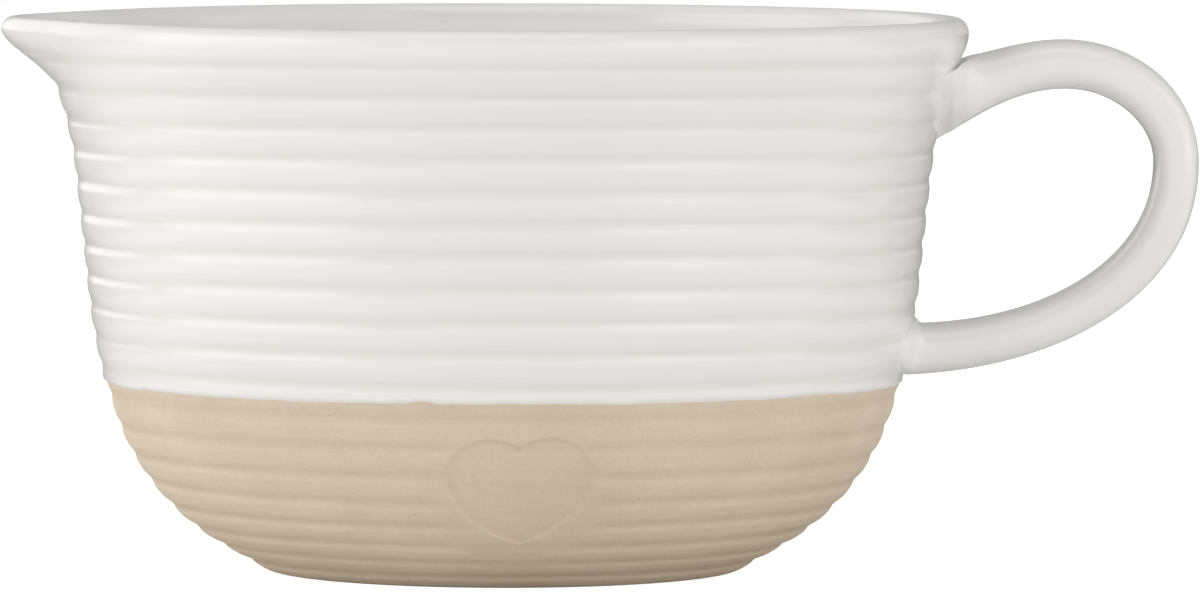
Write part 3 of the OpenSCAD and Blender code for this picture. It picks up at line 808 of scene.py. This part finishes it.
# The close columns reach this share of the heart's width to either side of its middle, measured at
# this many times the foot's radius
CLOSE_SHARE = 0.6
CLOSE_AT = 1.25


def clay_columns(bowl):
    """Directions round the bowl, close together over the stamped heart."""
    heart = bowl.sizes.heart
    middle = -math.pi / 2 + heart.turn
    half = CLOSE_SHARE * heart.width / bowl.foot_r / CLOSE_AT
    close = np.linspace(middle - half, middle + half, 150)
    wide = np.linspace(middle + half, middle - half + 2 * math.pi, 220)[1:-1]
    return np.concatenate([close, wide])


# Nicks of the glaze's edge: direction and half width in degrees, and height in millimetres
NICKS = ((-100.6, 1.5, 0.42), (-152, 1.2, 0.3), (-172, 8.5, 0.35), (-38, 3, 0.2), (31, 2, 0.35),
         (77, 4, 0.25), (128, 1.6, 0.4))

# Waves of the glaze's edge: waves round the bowl, height as a share of the ripple, and phase
WAVES = ((7, 1, 0.4), (17, 0.6, 1.3), (31, 0.5, 0), (53, 0.4, 2.1))

# A nick is full within the first share of its half width and gone at the second
NICK_FULL, NICK_GONE = 0.6, 1.3


def glaze_line(bowl, theta):
    """Height of the glaze's edge: a little higher at the front, uneven, and nicked in a few places."""
    line = bowl.sizes.line
    ripple = sum(height_share * np.sin(waves * theta + phase) for waves, height_share, phase in WAVES)
    nicked = 0 * theta
    for place, half_width, rise in NICKS:
        away = np.abs(np.angle(np.exp(1j * (theta - math.radians(place)))))
        reach = math.radians(half_width)
        nicked = nicked + rise * MM * (1 - smooth_step(NICK_FULL * reach, NICK_GONE * reach, away))
    return line.height - line.rise * np.sin(theta) + line.ripple * ripple + nicked


def softened(points, radius, steps=4):
    """An outline of radius and height with its inner corners rounded."""
    points = np.asarray(points, float)
    result = [points[0]]
    for before, corner, after in zip(points[:-2], points[1:-1], points[2:]):
        back = (before - corner) / np.linalg.norm(before - corner)
        on = (after - corner) / np.linalg.norm(after - corner)
        for t in np.linspace(0, 1, steps + 1):
            result.append(corner + radius * (back * (1 - t) ** 2 + on * t * t))
    result.append(points[-1])
    return np.array(result)


# The close rows reach this share of the heart's height above and below its middle. The clay's ribs are
# fine from this far above the glaze line down.
PRESSED_SHARE = 0.56
UNDER_GLAZE = 3 * MM


def make_bowl_clay(sizes):
    """The thrown bowl: ribbed outside, smooth inside, with its foot ring and the stamped heart."""
    bowl = Bowl(sizes)
    theta = clay_columns(bowl)[None, :]
    foot = sizes.foot
    heart = sizes.heart
    heart_s = float(bowl.s_at(heart.middle))
    hidden = np.linspace(0, bowl.s_at(sizes.line.height + UNDER_GLAZE), 56)
    bare = np.linspace(hidden[-1], heart_s - PRESSED_SHARE * heart.height, 14)[1:]
    pressed = np.linspace(bare[-1], heart_s + PRESSED_SHARE * heart.height, 122)[1:]
    below = np.linspace(pressed[-1], bowl.foot_s - foot.softness, 26)[1:]
    s = np.concatenate([hidden, bare, pressed, below])[:, None] + 0 * theta
    r, z, groove = bowl.ribbed(theta + 0 * s, s, 0)
    r, groove = stamp_heart(bowl, theta + 0 * s, s, r, z, groove)
    ring_r = bowl.foot_r - foot.ring_width
    under = softened([(r[-1].mean(), z[-1].mean()), (bowl.foot_r, 0), (ring_r, 0),
                      (ring_r - foot.slope, foot.hollow), (ring_r / 2, foot.hollow)], foot.softness)[1:]
    under_r, under_z = rows(theta, under[:, 0], under[:, 1])
    lip_r, lip_z = rows(theta, *bowl.lip(5, 0))
    crest_r, crest_z = rows(theta, *bowl.crest(0, 180, 14, 0))
    inner_s = np.linspace(bowl.inner_top_s, bowl.floor_s, 60)[1:]
    inside_r, inside_z = rows(theta, *bowl.inner_face(inner_s, sizes.wall.thickness))
    all_r = np.vstack([inside_r[::-1], crest_r[::-1], lip_r[::-1], r, under_r])
    all_z = np.vstack([inside_z[::-1], crest_z[::-1], lip_z[::-1], z, under_z])
    grooves = np.vstack([0 * inside_r, 0 * crest_r, 0 * lip_r, groove, 0 * under_r])
    grid = bowl.place(theta, all_r, all_z)
    piece = ring_mesh("bowl_clay", grid, False, (0, 0, inside_z[-1, 0]), (0, 0, foot.hollow), grooves)
    finish = sizes.finish
    stand_for(piece, clay_material("bare_stoneware", finish, finish.clay, finish.dark_clay_and_groove_shade),
              "stoneware", "bowl_body")


# The glaze's edge, in millimetres from its line: where it has its full thickness, where its bead stands
# and how broad that is. The coat's back is sunk into the clay by the last length, in metres.
EDGE_ROUND = 0.45
BEAD_PLACE = 0.7
BEAD_SPREAD = 0.4
BACK_EMBED = 0.02 * MM


def make_outer_glaze(sizes):
    """The dipped coat outside, from its uneven edge over the ribs to the crest."""
    bowl = Bowl(sizes)
    theta = even_columns(sizes.columns)[None, :]
    line_s = bowl.s_at(glaze_line(bowl, theta))
    glaze, bead = sizes.wall.glaze, sizes.line.bead
    t = np.linspace(1, 0, 134)[:, None]
    s = line_s * t
    over_edge = (line_s - s) / MM
    rounded = glaze * np.sqrt(np.clip(over_edge / EDGE_ROUND, 0, 1))
    thickness = rounded + bead * np.exp(-((over_edge - BEAD_PLACE) / BEAD_SPREAD) ** 2)
    r, z, groove = bowl.ribbed(theta + 0 * s, s, thickness)
    lip_r, lip_z = rows(theta, *bowl.lip(12, glaze))
    crest_r, crest_z = rows(theta, *bowl.crest(0, 90, 14, glaze))
    back_crest_r, back_crest_z = rows(theta, *bowl.crest(90, 0, 5, 0))
    back_lip_r, back_lip_z = rows(theta, *(v[::-1] for v in bowl.lip(4, 0)))
    back_s = line_s * np.linspace(0, 1, 70)[:-1, None]
    back_r, back_z, _ = bowl.ribbed(theta + 0 * back_s, back_s, -BACK_EMBED)
    all_r = np.vstack([r, lip_r, crest_r[1:], back_crest_r, back_lip_r[1:], back_r])
    all_z = np.vstack([z, lip_z, crest_z[1:], back_crest_z, back_lip_z[1:], back_z])
    # The grooves' painted shade fades out up the lip band
    fade = np.linspace(1, 0, len(lip_r))[:, None]
    grooves = np.vstack([groove, fade * groove[-1:], 0 * crest_r[1:], 0 * back_crest_r, 0 * back_lip_r[1:],
                         0 * back_r])
    piece = ring_mesh("glaze_outside", bowl.place(theta, all_r, all_z), True, groove=grooves)
    stand_for(piece, glaze_material("outside_glaze", sizes.finish), "glaze", "outer_glaze")


def make_inner_glaze(sizes):
    """The coat inside, from the crest down over the floor."""
    bowl = Bowl(sizes)
    theta = even_columns(sizes.columns)[None, :]
    depth = sizes.wall.thickness + sizes.wall.glaze
    crest_r, crest_z = rows(theta, *bowl.crest(90, 180, 14, sizes.wall.glaze))
    s = np.linspace(bowl.inner_top_s, bowl.floor_s, 90)[1:]
    wall_r, wall_z = rows(theta, *bowl.inner_face(s, depth))
    floor_r, floor_z = rows(theta, wall_r[-1, 0] * np.linspace(1, 0, 14)[1:-1], np.full(12, wall_z[-1, 0]))
    back_crest_r, back_crest_z = rows(theta, *bowl.crest(90, 180, 5, 0))
    back_s = np.linspace(bowl.inner_top_s, bowl.floor_s, 40)[1:]
    back_r, back_z = rows(theta, *bowl.inner_face(back_s, sizes.wall.thickness))
    all_r = np.vstack([floor_r[::-1], wall_r[::-1], crest_r[::-1], back_crest_r, back_r])
    all_z = np.vstack([floor_z[::-1], wall_z[::-1], crest_z[::-1], back_crest_z, back_z])
    piece = ring_mesh("glaze_inside", bowl.place(theta, all_r, all_z), False,
                      (0, 0, floor_z[-1, 0]), (0, 0, back_z[-1, 0]))
    stand_for(piece, glaze_material("inside_glaze", sizes.finish), "glaze", "inner_glaze")


def capped(name, rings):
    """A closed mesh through rings, with its ends closed by fans."""
    grid = np.array(rings)
    return ring_mesh(name, grid, False, tuple(grid[0].mean(0)), tuple(grid[-1].mean(0)))


def make_handle_clay(sizes):
    """The pulled strap of clay under the handle's glaze."""
    rings = Loop(Bowl(sizes)).skin(sizes.wall.glaze)
    seam = Loop.COLLAR_STEPS // 2
    piece = capped("handle_clay", rings[seam:-seam])
    finish = sizes.finish
    stand_for(piece, clay_material("handle_stoneware", finish, finish.clay, finish.dark_clay_and_groove_shade),
              "stoneware", "handle")


def make_slip_joint(sizes, upper):
    """The collar of slip that joins a root of the handle to the wall."""
    rings = Loop(Bowl(sizes)).skin(sizes.wall.glaze)
    seam = Loop.COLLAR_STEPS // 2
    name = "upper_slip" if upper else "lower_slip"
    piece = capped(name, rings[:seam + 1] if upper else rings[-seam - 1:])
    finish = sizes.finish
    stand_for(piece, clay_material(name + "_clay", finish, finish.slip, finish.clay), "slip",
              name + "_joint")


def make_handle_glaze(sizes):
    """The coat round the handle and over both collars."""
    loop = Loop(Bowl(sizes))
    coat = np.vstack([loop.skin(0), loop.skin(sizes.wall.glaze)[::-1]])
    piece = ring_mesh("glaze_handle", coat, True)
    stand_for(piece, glaze_material("handle_glaze", sizes.finish), "glaze", "handle_glaze")


# The table: half its side, its strength to the camera, the distance behind the bowl's middle at which its
# painted mirror image is gone, and that image's share near the foot, a painted shadow of the bowl, and the
# distances where it rises to full
TABLE_HALF = 4.0
TABLE_WHITE = 0.95
FADE_BEHIND = 0.3
FOOT_SHADE = 0.3
FOOT_SHADE_START = 0.12
FOOT_SHADE_END = 0.4


def make_floor():
    """A wide table, pure white to the camera. Glossy surfaces mirror it as a painted glow, white in front of
    the bowl, fading behind it, and dimmed near the foot as a painted shadow of the bowl."""
    mesh = bpy.data.meshes.new("table")
    work = bmesh.new()
    bmesh.ops.create_grid(work, x_segments=8, y_segments=8, size=TABLE_HALF)
    work.to_mesh(mesh)
    work.free()
    floor = bpy.data.objects.new("table", mesh)
    bpy.context.scene.collection.objects.link(floor)
    nodes = Nodes("white_table")
    tree = nodes.tree
    path = nodes.add("ShaderNodeLightPath")
    seen = nodes.add("ShaderNodeMath", {0: path.outputs["Is Camera Ray"], 1: path.outputs["Is Glossy Ray"]},
                     operation="MAXIMUM").outputs[0]
    place = nodes.add("ShaderNodeSeparateXYZ", {0: nodes.place})
    # Painted reflection: in reflections the table glows white only in front of the bowl
    in_front = nodes.between(place.outputs["Y"], 0.0, FADE_BEHIND, 1.0, 0.0)
    far = nodes.add("ShaderNodeVectorMath", {0: nodes.place}, operation="LENGTH").outputs["Value"]
    # Painted shadow of the bowl: the table's glow in reflections is dimmed near the foot
    past_shadow = nodes.between(far, FOOT_SHADE_START, FOOT_SHADE_END, FOOT_SHADE, 1.0)
    mirrored = nodes.add("ShaderNodeMath", {0: in_front, 1: past_shadow}, operation="MULTIPLY").outputs[0]
    white = nodes.add("ShaderNodeMix", {0: path.outputs["Is Camera Ray"], 2: mirrored,
                                        3: TABLE_WHITE}).outputs[0]
    glow = nodes.add("ShaderNodeEmission", {"Color": (1, 1, 1, 1), "Strength": white}).outputs[0]
    cloth = nodes.add("ShaderNodeBsdfDiffuse", {"Color": (0.4, 0.4, 0.4, 1)}).outputs[0]
    both = nodes.add("ShaderNodeAddShader", {0: glow, 1: cloth}).outputs[0]
    plain = nodes.add("ShaderNodeBsdfDiffuse", {"Color": (0.92, 0.92, 0.92, 1)}).outputs[0]
    mixed = nodes.add("ShaderNodeMixShader", {0: seen, 1: plain, 2: both}).outputs[0]
    tree.links.new(mixed, tree.nodes["Material Output"].inputs["Surface"])
    tree.nodes.remove(nodes.shader)
    mesh.materials.append(nodes.material)


def make_softbox(name, place, aim, width, height, power, soft_edge=0.0):
    """A rectangular soft light that looks at a point. A soft edge is the share of its width over
    which it fades out at each end."""
    light = bpy.data.lights.new(name, "AREA")
    light.shape = "RECTANGLE"
    light.size = width
    light.size_y = height
    light.energy = power
    if soft_edge:
        fade_ends(light, soft_edge)
    box = bpy.data.objects.new(name, light)
    box.location = place
    box.rotation_euler = (Vector(aim) - Vector(place)).to_track_quat("-Z", "Y").to_euler()
    bpy.context.scene.collection.objects.link(box)


def fade_ends(light, soft_edge):
    """Makes a soft light dimmer towards its two ends."""
    light.use_nodes = True
    tree = light.node_tree
    place = tree.nodes.new("ShaderNodeNewGeometry")
    split = tree.nodes.new("ShaderNodeSeparateXYZ")
    from_middle = tree.nodes.new("ShaderNodeMath")
    from_middle.operation = "SUBTRACT"
    from_middle.inputs[1].default_value = 0.5
    either_side = tree.nodes.new("ShaderNodeMath")
    either_side.operation = "ABSOLUTE"
    fade = tree.nodes.new("ShaderNodeMapRange")
    fade.interpolation_type = "SMOOTHSTEP"
    fade.inputs["From Min"].default_value = 0.5
    fade.inputs["From Max"].default_value = 0.5 - soft_edge
    tree.links.new(place.outputs["Parametric"], split.inputs[0])
    tree.links.new(split.outputs["X"], from_middle.inputs[0])
    tree.links.new(from_middle.outputs[0], either_side.inputs[0])
    tree.links.new(either_side.outputs[0], fade.inputs["Value"])
    tree.links.new(fade.outputs["Result"], tree.nodes["Emission"].inputs["Strength"])


def make_room(studio):
    """A white room: pure white to the camera, softer as a light."""
    world = bpy.data.worlds.new("white_room")
    bpy.context.scene.world = world
    world.use_nodes = True
    tree = world.node_tree
    background = tree.nodes["Background"]
    path = tree.nodes.new("ShaderNodeLightPath")
    strength = tree.nodes.new("ShaderNodeMix")
    strength.inputs[2].default_value = studio.ambient
    strength.inputs[3].default_value = 1.0
    background.inputs["Color"].default_value = (1, 1, 1, 1)
    tree.links.new(path.outputs["Is Camera Ray"], strength.inputs[0])
    tree.links.new(strength.outputs[0], background.inputs["Strength"])


def make_camera(studio):
    """A long lens straight in front, a little above the rim."""
    lens = bpy.data.cameras.new("camera")
    lens.lens = studio.focal_length
    lens.sensor_width = 36
    lens.sensor_fit = "HORIZONTAL"
    lens.clip_end = 20
    camera = bpy.data.objects.new("camera", lens)
    place = Vector((studio.aim_across, -studio.distance, studio.camera_height))
    aim = Vector((studio.aim_across, 0, studio.aim_height))
    facing = (aim - place).to_track_quat("-Z", "Y").to_matrix().to_4x4()
    camera.matrix_world = Matrix.Translation(place) @ facing @ Matrix.Rotation(studio.roll, 4, "Z")
    bpy.context.scene.collection.objects.link(camera)
    bpy.context.scene.camera = camera


SOFT_EDGE_SHARE = 0.3


def make_studio(sizes):
    """Table, room, soft lights and the camera."""
    studio = sizes.studio
    make_floor()
    make_room(studio)
    middle = (0, 0, 0.06)
    make_softbox("left_softbox", (-1.52, -0.49, 0.55), middle, 2.6, 1.4, studio.left_power,
                 SOFT_EDGE_SHARE)
    make_softbox("back_softbox", (-1.2, 1.35, 0.55), middle, 2.2, 1.4, studio.back_power,
                 SOFT_EDGE_SHARE)
    make_softbox("right_softbox", (1.32, -0.7, 0.5), middle, 2.0, 1.1, studio.right_power)
    make_softbox("top_softbox", (0.0, -0.4, 1.6), middle, 1.0, 0.6, studio.top_power)
    make_softbox("low_card", (0.5, -1.2, 0.16), (0, 0, 0.02), 2.4, 0.3, studio.card_power)
    make_camera(studio)
    bpy.context.scene.view_settings.view_transform = "Standard"


class PieceOperator:
    """What every step has: it makes its piece from the scene's settings."""
    bl_options = {"REGISTER", "UNDO"}

    def execute(self, context):
        self.make(context.scene.batter_bowl)
        return {"FINISHED"}


class BATTERBOWL_OT_bowl_clay(PieceOperator, Operator):
    """Makes the thrown clay bowl with its ribs, foot and heart"""
    bl_idname = "batterbowl.bowl_clay"
    bl_label = "Clay Bowl"

    def make(self, sizes):
        make_bowl_clay(sizes)


class BATTERBOWL_OT_outer_glaze(PieceOperator, Operator):
    """Makes the dipped coat outside"""
    bl_idname = "batterbowl.outer_glaze"
    bl_label = "Outside Glaze"

    def make(self, sizes):
        make_outer_glaze(sizes)


class BATTERBOWL_OT_inner_glaze(PieceOperator, Operator):
    """Makes the coat inside"""
    bl_idname = "batterbowl.inner_glaze"
    bl_label = "Inside Glaze"

    def make(self, sizes):
        make_inner_glaze(sizes)


class BATTERBOWL_OT_handle_clay(PieceOperator, Operator):
    """Makes the pulled strap of the handle"""
    bl_idname = "batterbowl.handle_clay"
    bl_label = "Handle Clay"

    def make(self, sizes):
        make_handle_clay(sizes)


class BATTERBOWL_OT_slip_joints(PieceOperator, Operator):
    """Makes both slip collars of the handle"""
    bl_idname = "batterbowl.slip_joints"
    bl_label = "Slip Joints"

    def make(self, sizes):
        make_slip_joint(sizes, True)
        make_slip_joint(sizes, False)


class BATTERBOWL_OT_handle_glaze(PieceOperator, Operator):
    """Makes the coat round the handle"""
    bl_idname = "batterbowl.handle_glaze"
    bl_label = "Handle Glaze"

    def make(self, sizes):
        make_handle_glaze(sizes)


class BATTERBOWL_OT_studio(PieceOperator, Operator):
    """Makes the table, the lights and the camera"""
    bl_idname = "batterbowl.studio"
    bl_label = "Studio"

    def make(self, sizes):
        make_studio(sizes)


STEPS = (BATTERBOWL_OT_bowl_clay, BATTERBOWL_OT_outer_glaze, BATTERBOWL_OT_inner_glaze,
         BATTERBOWL_OT_handle_clay, BATTERBOWL_OT_slip_joints, BATTERBOWL_OT_handle_glaze,
         BATTERBOWL_OT_studio)


class BATTERBOWL_PT_sidebar(Panel):
    """Lists the settings and the steps"""
    bl_label = "Batter Bowl"
    bl_idname = "BATTERBOWL_PT_sidebar"
    bl_space_type = "VIEW_3D"
    bl_region_type = "UI"
    bl_category = "Batter Bowl"

    def draw(self, context):
        sizes = context.scene.batter_bowl
        for group in ("wall", "lip", "ribs", "spout", "foot", "line", "handle", "collars", "heart",
                      "finish", "studio"):
            box = self.layout.box()
            box.label(text=group.capitalize())
            settings = getattr(sizes, group)
            for name in settings.__annotations__:
                box.prop(settings, name)
        self.layout.prop(sizes, "columns")
        for step in STEPS:
            self.layout.operator(step.bl_idname)


CLASSES = (BowlWallSettings, LipSettings, RibSettings, SpoutSettings, FootSettings, GlazeLineSettings,
           HandleSettings, CollarSettings, HeartSettings, FinishSettings, StudioSettings,
           BatterBowlSettings, *STEPS, BATTERBOWL_PT_sidebar)


def register():
    """Adds the settings, the steps and the panel."""
    for one in CLASSES:
        bpy.utils.register_class(one)
    bpy.types.Scene.batter_bowl = PointerProperty(type=BatterBowlSettings)


def unregister():
    """Takes them away again."""
    del bpy.types.Scene.batter_bowl
    for one in reversed(CLASSES):
        bpy.utils.unregister_class(one)


def plain(bounds):
    """Bounds as plain lists of numbers."""
    return [[float(v) for v in corner] for corner in bounds]


def main():
    """Makes every piece and the studio."""
    register()
    bpy.ops.batterbowl.bowl_clay()
    bpy.ops.batterbowl.outer_glaze()
    bpy.ops.batterbowl.inner_glaze()
    bpy.ops.batterbowl.handle_clay()
    bpy.ops.batterbowl.slip_joints()
    bpy.ops.batterbowl.handle_glaze()
    bpy.ops.batterbowl.studio()
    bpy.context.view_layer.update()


if __name__ == "__main__":
    main()
